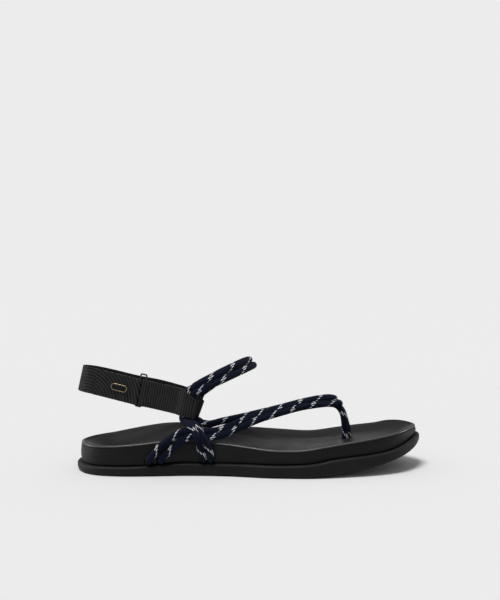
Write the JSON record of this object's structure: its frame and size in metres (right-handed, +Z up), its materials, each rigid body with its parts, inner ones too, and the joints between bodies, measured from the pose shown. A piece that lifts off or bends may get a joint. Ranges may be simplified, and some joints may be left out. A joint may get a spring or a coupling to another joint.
{
  "type": "rope sandal",
  "caption": "Flat thong sandal with a contoured rubber sole, dished footbed, braided cord toe and instep straps and a webbing heel strap.",
  "frame": {"origin": "on the ground, under the middle of the whole sandal's bounding box", "axes": "+X from the heel to the toe, -Y to the outer side of the foot, +Z up"},
  "size_m": [0.2621, 0.093, 0.0836],
  "materials": {
    "rubber": "matte moulded rubber with a faint pebble and soft sheen on the rounded flange",
    "foam": "matte moulded foam side wall",
    "lining": "smooth dark footbed skin with a fine grain and a low sheen",
    "cord": "navy braided cord with short white tracer flecks",
    "webbing": "black ribbed webbing with a dry matte face",
    "wire": "thin wire with a black satin coat",
    "plate": "small blank plate, dark brushed field with a pale rim"
  },
  "bodies": {
    "root": {"outsole": "rubber", "midsole": "foam", "insole": "lining", "rope_upper": "cord", "heel_strap": "webbing", "front_strap": "webbing", "strap_ring": "wire", "strap_plate": "plate"}
  },
  "joints": []
}
